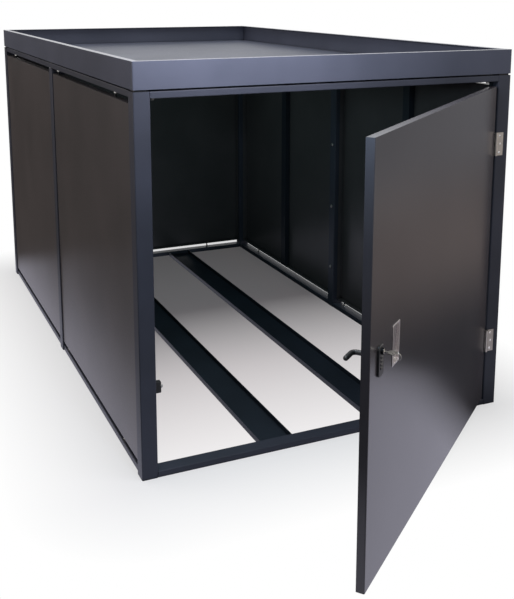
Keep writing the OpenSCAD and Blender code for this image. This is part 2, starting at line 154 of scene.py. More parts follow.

# Wall panels: steel sheet folded into shallow pans, set between the posts with a slot above and below.
# The same powder coat is coloured greyer and warmer on the wide sheets, a painted tint of the warm light on
# them, and hat channels stiffen them inside.
panel_names = ["panel_left_front", "panel_left_rear", "panel_right_front", "panel_right_rear", "panel_rear"]
warm_tinted_panel_coat = powder_coat("satin_powder_coat_on_sheet", "#524e4e", "#4a4747",
                         wave_mm=4.0, sheen=0.33, peel_um=25, nook_mm=20, gleam=0.25)
# The hat channels and the pieces under the tray, header and door get a darker copy of the coat: painted
# shade.
shaded_inside_coat = powder_coat("satin_powder_coat_painted_shade", "#272d34", "#22272e",
                          wave_mm=0.4, sheen=0.46, peel_um=40, nook_mm=10, gleam=0.2)
dress(warm_tinted_panel_coat, panel_names)
dress(shaded_inside_coat, ["panel_stiffeners"])

# Panel bolts: studs with a hexagon nut and a washer, which carry each panel between the rails.
# They are zinc-plated steel, two above and two below every panel, and show in the slots.
slot_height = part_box("panel_rear")[0].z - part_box("rail_rear")[1].z
corner_inset = 0.190
middle_inset = 0.050
stud_radius = 0.003
nut_height = 0.005
nut_radius = 0.006
nut_chamfer = 0.0009
washer_radius = 0.0068
washer_height = 0.0016
broken_edge = 0.0003


def plated_metal(name, tint, roughness, scratch_mm, axis_stretch=(1, 1, 1)):
    """Plated or satin metal with a fine drawn grain, longer along one axis."""
    dark_share = 0.82
    gloss_spread = 0.08
    scratch_depth = 0.00003
    material = bpy.data.materials.new(name)
    material.use_nodes = True
    tree = material.node_tree
    shader = tree.nodes["Principled BSDF"]
    place = add_node(tree, "ShaderNodeTexCoord", {}).outputs["Object"]
    # Real scratches are finer than 0.1 mm: they lie some millimetres apart here, so that they show.
    drawn = add_node(tree, "ShaderNodeMapping", {"Vector": place, "Scale": axis_stretch})
    grain = add_node(tree, "ShaderNodeTexNoise", {
        "Vector": drawn.outputs["Vector"], "Scale": 1000 / scratch_mm, "Detail": 3.0})
    dark = [share * dark_share for share in linear(tint)[:3]] + [1.0]
    shade = add_node(tree, "ShaderNodeMix", {
        MIX_FACTOR: grain.outputs["Fac"], MIX_FIRST: dark, MIX_SECOND: linear(tint)}, data_type="RGBA")
    gloss = add_node(tree, "ShaderNodeMapRange", {
        "Value": grain.outputs["Fac"], "From Min": 0.3, "From Max": 0.7,
        "To Min": roughness - gloss_spread, "To Max": roughness + gloss_spread})
    bump = add_node(tree, "ShaderNodeBump", {"Distance": scratch_depth, "Height": grain.outputs["Fac"]})
    tree.links.new(shade.outputs[MIX_RESULT], shader.inputs["Base Color"])
    tree.links.new(gloss.outputs["Result"], shader.inputs["Roughness"])
    tree.links.new(bump.outputs["Normal"], shader.inputs["Normal"])
    shader.inputs["Metallic"].default_value = 1.0
    return material


def pick(kind, test):
    """Selects, in edit mode, the faces or edges whose middle and normal or direction pass the test."""
    bpy.ops.mesh.select_mode(type=kind)
    bpy.ops.mesh.select_all(action="DESELECT")
    mesh = bmesh.from_edit_mesh(bpy.context.object.data)
    for part in (mesh.faces if kind == "FACE" else mesh.edges):
        middle = sum((corner.co for corner in part.verts), Vector()) / len(part.verts)
        way = part.normal if kind == "FACE" else (part.verts[1].co - part.verts[0].co).normalized()
        part.select_set(test(middle, way))
    bmesh.update_edit_mesh(bpy.context.object.data)


def soften(test, offset, segments):
    """Rounds or chamfers those edges of the active piece that pass the test."""
    bpy.ops.object.mode_set(mode="EDIT")
    pick("EDGE", test)
    bpy.ops.mesh.bevel(offset=offset, segments=segments, affect="EDGES")
    bpy.ops.object.mode_set(mode="OBJECT")


def bar(sides, radius, length, middle, turn=(0, 0, 0)):
    """A round or many-sided bar about the given middle, turned from upright."""
    bpy.ops.object.select_all(action="DESELECT")
    bpy.ops.mesh.primitive_cylinder_add(vertices=sides, radius=radius, depth=length, location=middle,
                                        rotation=turn)
    bpy.ops.object.transform_apply(location=True, rotation=True, scale=True)
    return bpy.context.object


def turned(sides, radius, height, base, chamfer):
    """A round or hexagon bar standing on base, its upper edge rounded off."""
    piece = bar(sides, radius, height, (0, 0, base + height / 2))
    near_top = base + height * 0.99
    soften(lambda middle, way: middle.z > near_top and abs(way.z) < 0.5, chamfer, 3)
    return piece


def take(pieces):
    """Selects pieces and nothing else, the first of them as the active one."""
    bpy.ops.object.select_all(action="DESELECT")
    for piece in pieces:
        piece.select_set(True)
    bpy.context.view_layer.objects.active = pieces[0]


def join(pieces):
    """Makes several modelled pieces one mesh."""
    take(pieces)
    bpy.ops.object.join()
    return bpy.context.object


def repeat(model, places):
    """Copies a modelled fastener to each point, its head turned to the given direction, as one mesh."""
    copies = []
    for point, way in places:
        copy = model.copy()
        copy.data = model.data.copy()
        bpy.context.scene.collection.objects.link(copy)
        turn = Vector(way).to_track_quat("Z", "Y").to_matrix().to_4x4()
        copy.matrix_world = Matrix.Translation(point) @ turn
        copies.append(copy)
    bpy.data.objects.remove(model)
    for copy in copies:
        take([copy])
        bpy.ops.object.transform_apply(location=True, rotation=True, scale=True)
    return join(copies)


def settle(piece, name, material):
    """Puts a piece's place into its mesh, shades it smooth, and gives it its name and material."""
    smooth_deg = 35
    take([piece])
    bpy.ops.object.transform_apply(location=True, rotation=True, scale=True)
    bpy.ops.object.shade_smooth_by_angle(angle=math.radians(smooth_deg))
    even = piece.modifiers.new("flat_faces_stay_flat", "WEIGHTED_NORMAL")
    even.keep_sharp = True
    bpy.ops.object.modifier_apply(modifier=even.name)
    piece.name = name
    piece.data.name = name
    piece.data.materials.clear()
    piece.data.materials.append(material)
    return piece


# Zinc plate gives a dull grey gleam. The nuts, washers and screw heads get a brighter copy, a painted
# highlight, so that they mirror the light as white points.
zinc = plated_metal("zinc_plated_steel", "#a3a29f", roughness=0.34, scratch_mm=3)
zinc_painted_bright = plated_metal("zinc_plated_steel_painted_bright", "#f6f4f0", roughness=0.22, scratch_mm=2)
nut_base = slot_height - washer_height - nut_height
stud = join([turned(16, stud_radius, slot_height, 0, broken_edge),
             turned(24, washer_radius, washer_height, nut_base + nut_height, broken_edge),
             turned(6, nut_radius, nut_height, nut_base, nut_chamfer)])
bolt_places = []
for name in panel_names:
    low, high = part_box(name)
    middle = (low + high) / 2
    along = Vector((1, 0, 0)) if name == "panel_rear" else Vector((0, 1, 0))
    half = (high - low).dot(along) / 2
    for side in (-1, 1):
        # Beside a middle post the bolts stand closer to the panel's edge.
        towards_middle_post = 1 if name.endswith("_front") else -1
        beside_middle_post = name != "panel_rear" and side == towards_middle_post
        inset = middle_inset if beside_middle_post else corner_inset
        foot = Vector((middle.x, middle.y, 0)) + along * side * (half - inset)
        bolt_places.append((foot + Vector((0, 0, high.z)), (0, 0, 1)))
        bolt_places.append((foot + Vector((0, 0, low.z)), (0, 0, -1)))
panel_bolts = settle(repeat(stud, bolt_places), "panel_bolts", zinc_painted_bright)
# The shanks are coloured near black, painted shade in the slots, so that only the nuts and washers gleam
# there.
shank_painted_dark = plated_metal("bolt_steel_painted_dark", "#2b2c2f", roughness=0.45, scratch_mm=3)
panel_bolts.data.materials.append(shank_painted_dark)
for face in panel_bolts.data.polygons:
    heights = [panel_bolts.data.vertices[index].co.z for index in face.vertices]
    if max(heights) - min(heights) > slot_height / 2:
        face.material_index = 1
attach(panel_bolts, "frame")
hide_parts("panel_pins")

# Post bolts: button-head screws on washers, down the inner face of each middle post.
# They clamp the folded edges of two panels to the post and are zinc-plated too.
post_bolt_heights = (0.19, 0.475, 0.76, 1.045)
button_radius = 0.0065
button_height = 0.0035
button_round = 0.0022
socket_radius = 0.0025
socket_depth = 0.002
button = turned(24, button_radius, button_height, washer_height, button_round)
bpy.ops.object.mode_set(mode="EDIT")
pick("FACE", lambda middle, way: way.z > 0.99)
bpy.ops.mesh.inset(thickness=button_radius - button_round - socket_radius)
bpy.ops.mesh.extrude_region_move(TRANSFORM_OT_translate={"value": (0, 0, -socket_depth)})
bpy.ops.object.mode_set(mode="OBJECT")
button = join([button, turned(24, washer_radius, washer_height, 0, broken_edge)])
post_bolt_places = []
for name, inward in (("post_mid_left", 1), ("post_mid_right", -1)):
    low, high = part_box(name)
    inner_x = high.x if inward > 0 else low.x
    for height in post_bolt_heights:
        post_bolt_places.append(((inner_x, (low.y + high.y) / 2, height), (inward, 0, 0)))
post_bolts = settle(repeat(button, post_bolt_places), "post_bolts", zinc)
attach(post_bolts, "frame")

# Planting tray: steel sheet folded up into a deep fascia, with a flange turned in round the rim.
# It stands on rubber pads over the posts and on cross bearers, and its folds catch the light.
tray_sheet = 0.002
rim_width = 0.022
tray_corner = 0.004
tray_fold = 0.0008
# A face or an edge that lies within a hair of a plane counts as lying in it.
hair = 0.0001


def block(middle, size):
    """A square block about the given middle."""
    bpy.ops.object.select_all(action="DESELECT")
    bpy.ops.mesh.primitive_cube_add(size=1, location=middle, scale=size)
    bpy.ops.object.transform_apply(location=True, rotation=True, scale=True)
    return bpy.context.object


def round_edges(piece, width, segments):
    """Rounds every sharp edge of a piece."""
    rounding = piece.modifiers.new("rounding", "BEVEL")
    rounding.width = width
    rounding.segments = segments
    rounding.limit_method = "ANGLE"
    take([piece])
    bpy.ops.object.modifier_apply(modifier=rounding.name)


low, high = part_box("planting_tray")
tray_size = high - low
tray = block((low + high) / 2, tray_size)
bpy.ops.object.mode_set(mode="EDIT")
pick("FACE", lambda middle, way: way.z > 0.9)
bpy.ops.mesh.inset(thickness=rim_width)
bpy.ops.mesh.extrude_region_move(TRANSFORM_OT_translate={"value": (0, 0, -tray_sheet)})
# Under the flange the hollow widens to the inner faces of the fascia.
bpy.ops.mesh.extrude_region_move(TRANSFORM_OT_translate={"value": (0, 0, 0)})
inner_share = [(size - 2 * tray_sheet) / (size - 2 * rim_width) for size in tray_size[:2]]
bpy.ops.transform.resize(value=(*inner_share, 1), center_override=(low + high) / 2)
bpy.ops.mesh.extrude_region_move(TRANSFORM_OT_translate={"value": (0, 0, 2 * tray_sheet - tray_size.z)})
bpy.ops.object.mode_set(mode="OBJECT")
soften(lambda middle, way: abs(way.z) > 0.9 and abs(middle.x) > tray_size.x / 2 - hair, tray_corner, 5)
round_edges(tray, tray_fold, 3)
# The tray's copy of the coat is coloured bluer and paler, painted light for the fascia, which faces the
# light.
pale_painted_tray_coat = powder_coat("satin_powder_coat_painted_pale_on_tray", "#575b69", "#505461",
                        wave_mm=0.5, sheen=0.38, peel_um=40, nook_mm=10, gleam=0.12)
settle(tray, "roof_tray", pale_painted_tray_coat)
# The flange lies flat under the sky, and the coat flowed out smoother on it: a pale line at a low angle. Its
# colour is painted a little paler as well, a painted highlight along the rim.
rim_coat = powder_coat("smooth_powder_coat_on_rim", "#5c606f", "#555967",
                       wave_mm=0.5, sheen=0.20, peel_um=10, nook_mm=4, gleam=0.5)
tray.data.materials.append(rim_coat)
for face in tray.data.polygons:
    if face.normal.z > 0.9 and face.center.z > high.z - 2 * hair:
        face.material_index = 1
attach(tray, "frame")
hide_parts("planting_tray")
dress(shaded_inside_coat, ["tray_bearers"])


def moulded(name, tint, roughness, grain_mm, depth_mm):
    """Moulded rubber or plastic: an even matt skin with a fine eroded grain."""
    dust_share = 1.7
    gloss_spread = 0.08
    material = bpy.data.materials.new(name)
    material.use_nodes = True
    tree = material.node_tree
    shader = tree.nodes["Principled BSDF"]
    place = add_node(tree, "ShaderNodeTexCoord", {}).outputs["Object"]
    # A real eroded grain is about 0.1 mm across: it is drawn at 1.5 to 2 mm, so that it shows.
    grain = add_node(tree, "ShaderNodeTexNoise", {"Vector": place, "Scale": 1000 / grain_mm, "Detail": 3.0})
    dust = [share * dust_share for share in linear(tint)[:3]] + [1.0]
    shade = add_node(tree, "ShaderNodeMix", {
        MIX_FACTOR: grain.outputs["Fac"], MIX_FIRST: linear(tint), MIX_SECOND: dust}, data_type="RGBA")
    gloss = add_node(tree, "ShaderNodeMapRange", {
        "Value": grain.outputs["Fac"],
        "To Min": roughness - gloss_spread, "To Max": roughness + gloss_spread})
    bump = add_node(tree, "ShaderNodeBump", {"Distance": depth_mm / 1000, "Height": grain.outputs["Fac"]})
    tree.links.new(shade.outputs[MIX_RESULT], shader.inputs["Base Color"])
    tree.links.new(gloss.outputs["Result"], shader.inputs["Roughness"])
    tree.links.new(bump.outputs["Normal"], shader.inputs["Normal"])
    return material


# Moulded rubber takes up the light: a deep black without highlights.
rubber = moulded("moulded_black_rubber", "#131314", roughness=0.72, grain_mm=2, depth_mm=0.05)
dress(rubber, ["tray_pads"])

# Wheel channels: two shallow channels of folded sheet on the ground, from the sill to the rear rail.
# They wear the same coat, coloured almost black here as painted shade down by the ground.
shaded_channel_coat = powder_coat("satin_powder_coat_on_channel", "#282e37", "#22272f",
                           wave_mm=0.4, sheen=0.48, peel_um=40, nook_mm=10, gleam=0.2)
dress(shaded_channel_coat, ["wheel_channel_left", "wheel_channel_right"])

# Door stop and header brackets: a rubber block on the left post, and steel angles under the header.
# The block is held by one bolt, and each angle by a bolt in either leg.
stop_round = 0.003
low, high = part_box("door_stop")
stop = block((low + high) / 2, high - low)
soften(lambda middle, way: middle.x > low.x + hair, stop_round, 4)
settle(stop, "stop_block", rubber)
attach(stop, "frame")
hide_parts("door_stop")
stop_face = Vector((high.x, (low.y + high.y) / 2, (low.z + high.z) / 2))
dress(shaded_inside_coat, ["header_brackets"])
bolt_radius = 0.0055
bolt_height = 0.004
bolt_chamfer = 0.0008
bolt_washer_radius = 1.25 * bolt_radius
bracket_sheet = 0.003
bracket_leg = 0.027
bolt_up_leg = 0.010
bolt_along_leg = 0.62 * bracket_leg
hex_bolt = join([turned(24, bolt_washer_radius, washer_height, 0, broken_edge),
                 turned(6, bolt_radius, bolt_height, washer_height, bolt_chamfer)])
low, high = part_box("header_brackets")
depth_y = (low.y + high.y) / 2
bracket_places = [(stop_face, (1, 0, 0))]
for side, post_x in ((1, low.x), (-1, high.x)):
    bracket_places.append(((post_x + side * bracket_sheet, depth_y, low.z + bolt_up_leg), (side, 0, 0)))
    bracket_places.append(((post_x + side * bolt_along_leg, depth_y, high.z - bracket_sheet), (0, 0, -1)))
bracket_bolts = settle(repeat(hex_bolt, bracket_places), "bracket_bolts", zinc)
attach(bracket_bolts, "frame")

# Hinges: two half-surface hinges of satin steel, with five knuckles on a fixed pin.
# One leaf is screwed to the front of the post with three countersunk screws, the other to the door's edge.
# Satin steel shows a soft band of light down each knuckle, and a fine grain along the pin.
hinge_steel = plated_metal("satin_hinge_steel", "#aea8a1",
                           roughness=0.40, scratch_mm=4, axis_stretch=(1, 1, 0.25))
dress(hinge_steel, [name for name in frame["nodes"] if name.startswith("hinge_")])
hinge_sheet = 0.0025
knuckle_radius = 0.005
screw_radius = 0.0041
screw_dome = 0.0012
screw_round = 0.7 * screw_dome
screw_sunk = 0.8 * screw_dome
screw_stagger = 0.003
screw_margin = 0.011
edge_screw_y = -0.013
slot_width = 0.0012
slot_length = 1.2 * screw_radius


def combine(piece, steps):
    """Adds other pieces to a piece or cuts them out of it, one after another."""
    for other, operation in steps:
        step = piece.modifiers.new("combine", "BOOLEAN")
        step.operation = operation
        step.object = other
        take([piece])
        bpy.ops.object.modifier_apply(modifier=step.name)
        bpy.data.objects.remove(other)


def cross_screw():
    """A countersunk screw's head with a cross recess, standing a little proud of the origin."""
    head = turned(20, screw_radius, screw_dome, 0, screw_round)
    for size in ((slot_length, slot_width, screw_dome), (slot_width, slot_length, screw_dome)):
        combine(head, [(block((0, 0, screw_dome), size), "DIFFERENCE")])
    return head


def joint(name):
    """The frame's joint of that name."""
    return next(entry for entry in frame["joints"] if entry["name"] == name)


hinge = joint("door_hinge")
hinge_axis = Vector(hinge["pos_m"])
swing = (Matrix.Translation(hinge_axis) @ Matrix.Rotation(math.radians(-hinge["range_deg"][0]), 4, "Z")
         @ Matrix.Translation(-hinge_axis))
towards_post = swing.to_3x3() @ Vector((1, 0, 0))
leaf_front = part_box("post_front_right")[0].y - hinge_sheet
post_screws = []
door_screws = []
for level in ("upper", "lower"):
    low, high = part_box("hinge_%s_post_leaf" % level)
    leaf_middle = (hinge_axis.x + knuckle_radius + high.x) / 2
    for step in (-1, 0, 1):
        zigzag = screw_stagger / 2 if step == 0 else -screw_stagger / 2
        height = (low.z + high.z) / 2 + step * ((high.z - low.z) / 2 - screw_margin)
        post_screws.append(((leaf_middle + zigzag, leaf_front + screw_sunk, height), (0, -1, 0)))
        closed = Vector((hinge_axis.x, edge_screw_y + zigzag, height))
        door_screws.append((swing @ closed, towards_post))
hinge_screws = settle(repeat(cross_screw(), post_screws), "hinge_screws_post", zinc_painted_bright)
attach(hinge_screws, "frame")
edge_screws = settle(repeat(cross_screw(), door_screws), "hinge_screws_door", zinc_painted_bright)
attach(edge_screws, "door")

# Door leaf: one pan of steel sheet with a flange turned in round its back, and a channel down the middle.
# It wears a darker copy of the panels' coat, painted shade, and shows the floor in its lower half, because it
# is seen so slantingly.
shaded_door_coat = powder_coat("satin_powder_coat_on_door", "#403d41", "#3a373b",
                        wave_mm=2.0, sheen=0.22, peel_um=20, nook_mm=5, gleam=0.5)
dress(shaded_door_coat, ["door_leaf"])
dress(shaded_inside_coat, ["door_stiffener"])

# Lock: a black die-cast plate on the outside with the cylinder near its top and four ribbed wheels below it.
# Behind the sheet lies a blackened steel case, with the rose that the lever turns in.
# The coated casting has small soft highlights on its rounded edge, the blackened steel a sharper gleam.
black_steel = plated_metal("blackened_lock_steel", "#2b2c2f", roughness=0.38, scratch_mm=3)
black_cast = moulded("black_coated_die_casting", "#101113", roughness=0.40, grain_mm=1.5, depth_mm=0.02)
dress(black_steel, ["lock_case", "lock_cylinder"])
plate_width = 0.034
plate_corner = 0.011
plate_round = 0.002
bore_radius = 0.0086
bore_length = 0.05
cylinder_proud = 0.006
wheel_count = 4
wheel_radius = 0.0032
wheel_width = 0.0135
wheel_pitch = 0.009
wheel_sunk = 0.0014
wheel_rib = 0.0003
first_wheel_drop = 0.006
window_play = 0.001
window_depth = 0.006
window_height = 0.82 * wheel_pitch


def middle_when_closed(name):
    """The middle of a door node in the place that it has when the door is shut."""
    low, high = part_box(name)
    return swing.inverted() @ ((low + high) / 2)


def rounded_block(middle, size, corner):
    """A block whose four edges along the depth are rounded."""
    piece = block(middle, size)
    soften(lambda middle, way: abs(way.y) > 0.9, corner, 8)
    return piece


key_axis = swing.inverted() @ Vector(joint("key_turn")["pos_m"])
plate_middle = middle_when_closed("escutcheon")
plate_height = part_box("escutcheon")[1].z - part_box("escutcheon")[0].z
plate_depth = 2 * (key_axis.y - plate_middle.y)
plate = rounded_block(plate_middle, (plate_width, plate_depth, plate_height), plate_corner)
plate_front = plate_middle.y - plate_depth / 2
soften(lambda middle, way: middle.y < plate_front + hair, plate_round, 4)
cutters = [bar(48, bore_radius, bore_length, key_axis, (math.pi / 2, 0, 0))]
wheels = []
for step in range(wheel_count):
    wheel_z = key_axis.z - bore_radius - first_wheel_drop - step * wheel_pitch
    cutters.append(block((key_axis.x, plate_front, wheel_z),
                         (wheel_width + window_play, window_depth, window_height)))
    wheels.append(bar(20, wheel_radius, wheel_width, (key_axis.x, plate_front + wheel_sunk, wheel_z),
                      (0, math.pi / 2, 0)))
    bpy.ops.object.mode_set(mode="EDIT")
    pick("FACE", lambda middle, way: abs(way.x) < 0.5)
    bpy.ops.mesh.inset(thickness=wheel_rib, depth=-wheel_rib, use_individual=True)
    bpy.ops.object.mode_set(mode="OBJECT")
combine(plate, [(cutter, "DIFFERENCE") for cutter in cutters])
# The plate is shaded with its sharp edges before the wheels join it, and their ribs stay soft and worn.
settle(plate, "lock_plate", black_cast)
plate = join([plate] + wheels)
plate.matrix_world = swing
settle(plate, "lock_plate", black_cast)
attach(plate, "door")
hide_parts("escutcheon")

# Key: a flat nickel-plated key in the plug of the cylinder, with a split ring through the end of its bow.
# The bow is a stamped disc, and the ring is sprung wire wound twice.
key_thickness = 0.002
bow_radius = 0.0125
shank_length = 0.008
shank_width = 0.006
shank_overlap = 0.002
hole_radius = 0.004
hole_length = 0.01
web_width = 0.003
worn_edge = 0.00035
plug_radius = 0.006
plug_round = 0.0006
plug_gap = 0.0004
ring_radius = 0.0095
ring_play = 0.0002
wire_radius = 0.0005
# Nickel plate is bright and a little warm, broken by fine scratches from use.
nickel = plated_metal("nickel_plated_brass", "#cbc8c2", roughness=0.22, scratch_mm=1.5)
plug_front = plate_front - cylinder_proud
bow_middle = Vector((key_axis.x, plug_front - shank_length - bow_radius, key_axis.z))
bow_end = bow_middle.y - bow_radius
bow = bar(48, bow_radius, key_thickness, bow_middle)
shank = block((key_axis.x, (bow_middle.y + plug_front) / 2, key_axis.z),
              (shank_width, plug_front - bow_middle.y + shank_overlap, key_thickness))
hole = bar(32, hole_radius, hole_length, (key_axis.x, bow_end + web_width + hole_radius, key_axis.z))
combine(bow, [(shank, "UNION"), (hole, "DIFFERENCE")])
round_edges(bow, worn_edge, 2)
settle(bow, "key_bow", nickel)
plug_length = plate_depth + cylinder_proud - plug_gap
plug = bar(32, plug_radius, plug_length, (key_axis.x, plug_front + plug_length / 2, key_axis.z),
           (math.pi / 2, 0, 0))
soften(lambda middle, way: middle.y < plug_front + hair, plug_round, 3)
ring_turns = []
ring_y = bow_end + web_width / 2
ring_z = key_axis.z + key_thickness / 2 + ring_play - (ring_radius - 2 * wire_radius)
for side in (-1, 1):
    bpy.ops.object.select_all(action="DESELECT")
    bpy.ops.mesh.primitive_torus_add(major_radius=ring_radius - wire_radius, minor_radius=wire_radius,
                                     major_segments=48, minor_segments=10,
                                     location=(key_axis.x + side * wire_radius, ring_y, ring_z),
                                     rotation=(0, math.pi / 2, 0))
    ring_turns.append(bpy.context.object)
key = join([bow, plug] + ring_turns)
key.matrix_world = swing
settle(key, "key_with_ring", nickel)
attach(key, "key")
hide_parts("key")

# Flush pull: a cup drawn from stainless sheet, sunk through the door with its rim lying on the sheet.
# It is brushed lengthwise, and its folds are rounded by the drawing die.
pull_rim = 0.005
pull_sheet = 0.0015
pull_depth = 0.014
pull_corner = 0.004
pull_width = 0.054
pull_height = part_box("flush_pull")[1].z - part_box("flush_pull")[0].z
pull_middle = middle_when_closed("flush_pull")
drawn_edge = 0.0006
cup_walls = 1.9 * pull_sheet
cup_width = pull_width - 2 * pull_rim
cup_height = pull_height - 2 * pull_rim
# Brushing draws every reflection out into streaks along the pull.
stainless = plated_metal("brushed_stainless_sheet", "#dedada",
                         roughness=0.28, scratch_mm=2.5, axis_stretch=(1, 1, 0.03))
door_front = key_axis.y
cup_back = door_front + pull_depth
rim_middle_y = door_front - pull_sheet / 2
pull = rounded_block((pull_middle.x, rim_middle_y, pull_middle.z), (pull_width, pull_sheet, pull_height),
                     pull_corner)
cup = rounded_block((pull_middle.x, (rim_middle_y + cup_back) / 2, pull_middle.z),
                    (cup_width + cup_walls, cup_back - rim_middle_y, cup_height + cup_walls), pull_corner)
hollow = rounded_block((pull_middle.x, cup_back - pull_sheet - pull_depth, pull_middle.z),
                       (cup_width, 2 * pull_depth, cup_height), pull_corner)
combine(pull, [(cup, "UNION"), (hollow, "DIFFERENCE")])
round_edges(pull, drawn_edge, 3)
pull.matrix_world = swing
settle(pull, "pull_cup", stainless)
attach(pull, "door")
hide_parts("flush_pull")

# Lever: a round black bar on the inner side, which leaves its rose squarely and bends towards the free edge.
# It is bent from one bar, with a rounded end, and coated in fine matt black.
lever_radius = 0.0065
lever_reach = 0.045
lever_grip = 0.044
lever_foot = 0.004
bend_radius = 0.012
end_shares = (0.0, 0.25, 0.5, 0.75, 0.95)
weld_distance = 0.00002
# The matt coat leaves one broad dim highlight along the bar.
matt_black = moulded("matt_black_coated_bar", "#0f1011", roughness=0.46, grain_mm=1.5, depth_mm=0.02)
lever_axis = swing.inverted() @ Vector(joint("lever_turn")["pos_m"])
bpy.ops.object.select_all(action="DESELECT")
bpy.ops.mesh.primitive_circle_add(vertices=28, radius=lever_radius, fill_type="NGON",
                                  location=lever_axis + Vector((0, lever_foot, 0)),
                                  rotation=(math.pi / 2, 0, 0))
bpy.ops.object.transform_apply(location=True, rotation=True, scale=True)
lever = bpy.context.object
bpy.ops.object.mode_set(mode="EDIT")
bpy.ops.mesh.select_all(action="SELECT")
straight_length = lever_reach - lever_foot - bend_radius
bpy.ops.mesh.extrude_region_move(TRANSFORM_OT_translate={"value": (0, straight_length, 0)})
bpy.ops.mesh.spin(steps=10, angle=math.radians(-90), axis=(0, 0, 1),
                  center=lever_axis + Vector((-bend_radius, lever_reach - bend_radius, 0)))
bpy.ops.mesh.extrude_region_move(TRANSFORM_OT_translate={"value": (bend_radius - lever_grip, 0, 0)})
# The end is a dome in four steps, each a share of the bar's radius further out and narrower by the circle.
for before, share in zip(end_shares, end_shares[1:]):
    step_length = lever_radius * (share - before)
    bpy.ops.mesh.extrude_region_move(TRANSFORM_OT_translate={"value": (-step_length, 0, 0)})
    narrower = math.sqrt((1 - share ** 2) / (1 - before ** 2))
    end_middle = lever_axis + Vector((-lever_grip - lever_radius * share, lever_reach, 0))
    bpy.ops.transform.resize(value=(1, narrower, narrower), center_override=end_middle)
bpy.ops.mesh.select_all(action="SELECT")
bpy.ops.mesh.remove_doubles(threshold=weld_distance)
bpy.ops.mesh.normals_make_consistent(inside=False)
bpy.ops.object.mode_set(mode="OBJECT")
lever.matrix_world = swing
settle(lever, "lever_bar", matt_black)
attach(lever, "lever")
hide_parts("lever")

# Studio: a pale floor under the object, which fades into a white surround.
# Only the eye, gloss and glass see the surround at full strength, so that it doesn't flood the object.
floor_radius = 16.0
rail_cover = 0.02
border = 0.0005
shade_width = 0.4
white_at_walls = 0.55
white_at_sill = 0.82
white_at_rear = 0.04
bay_shade_depth = 1.3
pale_sheets = (((-0.65, -0.78), (0.15, 2.23), 0.33), ((-0.20, -1.40), (0.86, -0.30), 0.23))
sheet_edge = 0.03
board_slant = (1.0, -0.8, 0.0)
board_tints = ((-0.6, 0.4, "#3d4349"), (1.2, 1.8, "#aba09c"), (2.5, 4.0, "#e8e8ec"))
FLOAT_FIRST, FLOAT_SECOND, FLOAT_RESULT = 2, 3, 0
bpy.ops.object.select_all(action="DESELECT")
bpy.ops.mesh.primitive_circle_add(vertices=96, radius=floor_radius, fill_type="NGON", location=(0, 1, 0))
bpy.ops.object.transform_apply(location=True, rotation=True, scale=True)
floor = bpy.context.object
floor.name = "studio_floor"
floor_paint = bpy.data.materials.new("pale_studio_floor")
floor_paint.use_nodes = True
tree = floor_paint.node_tree
tree.nodes.clear()
path = add_node(tree, "ShaderNodeLightPath", {})
place = add_node(tree, "ShaderNodeTexCoord", {}).outputs["Object"]


def floor_distance(low, high):
    """How far a place on the floor lies outside the rectangle from low to high."""
    middle = (low.x + high.x) / 2, (low.y + high.y) / 2, 0
    half = (high.x - low.x) / 2, (high.y - low.y) / 2, 0
    zero = (0, 0, 0)
    away = place
    for operation, other in (("SUBTRACT", middle), ("ABSOLUTE", zero), ("SUBTRACT", half), ("MAXIMUM", zero)):
        step = add_node(tree, "ShaderNodeVectorMath", {0: away, 1: other}, operation=operation)
        away = step.outputs["Vector"]
    return add_node(tree, "ShaderNodeVectorMath", {0: away}, operation="LENGTH").outputs["Value"]


# The eye sees a pale floor with the object's shadow on it, which fades into white away from the walls.
# Under the roof a white glow is painted on it, strong at the sill and faint at the rear, so that it darkens
# towards the rear. The border between the two lies hidden under the rails.
low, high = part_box("post_front_left")[0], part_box("post_rear_right")[1]
under_rails = Vector((rail_cover, rail_cover, 0))
from_walls = floor_distance(low, high)
from_bay = floor_distance(low + under_rails, high - under_rails)
past_border = add_node(tree, "ShaderNodeMath", {0: from_bay, 1: border}, operation="GREATER_THAN")
outside = past_border.outputs["Value"]
floor_tint = add_node(tree, "ShaderNodeMix", {
    MIX_FACTOR: outside, MIX_FIRST: linear("#e2bebe"), MIX_SECOND: linear("#e4e4e6")}, data_type="RGBA")
pale = add_node(tree, "ShaderNodeBsdfDiffuse", {"Color": floor_tint.outputs[MIX_RESULT]})
white = add_node(tree, "ShaderNodeEmission", {"Color": (1, 1, 1, 1), "Strength": 1.0})
fade = add_node(tree, "ShaderNodeMapRange", {
    "Value": from_walls, "From Min": 0.0, "From Max": shade_width, "To Min": white_at_walls, "To Max": 1.0})
depth = add_node(tree, "ShaderNodeSeparateXYZ", {"Vector": place})
bay_glow_painted = add_node(tree, "ShaderNodeMapRange", {
    "Value": depth.outputs["Y"], "From Min": 0.0, "From Max": bay_shade_depth,
    "To Min": white_at_sill, "To Max": white_at_rear})
glow = add_node(tree, "ShaderNodeMix", {
    MIX_FACTOR: outside, FLOAT_FIRST: bay_glow_painted.outputs["Result"], FLOAT_SECOND: fade.outputs["Result"]},
    data_type="FLOAT")
seen = add_node(tree, "ShaderNodeMixShader", {
    "Fac": glow.outputs[FLOAT_RESULT], 1: pale.outputs["BSDF"], 2: white.outputs["Emission"]})
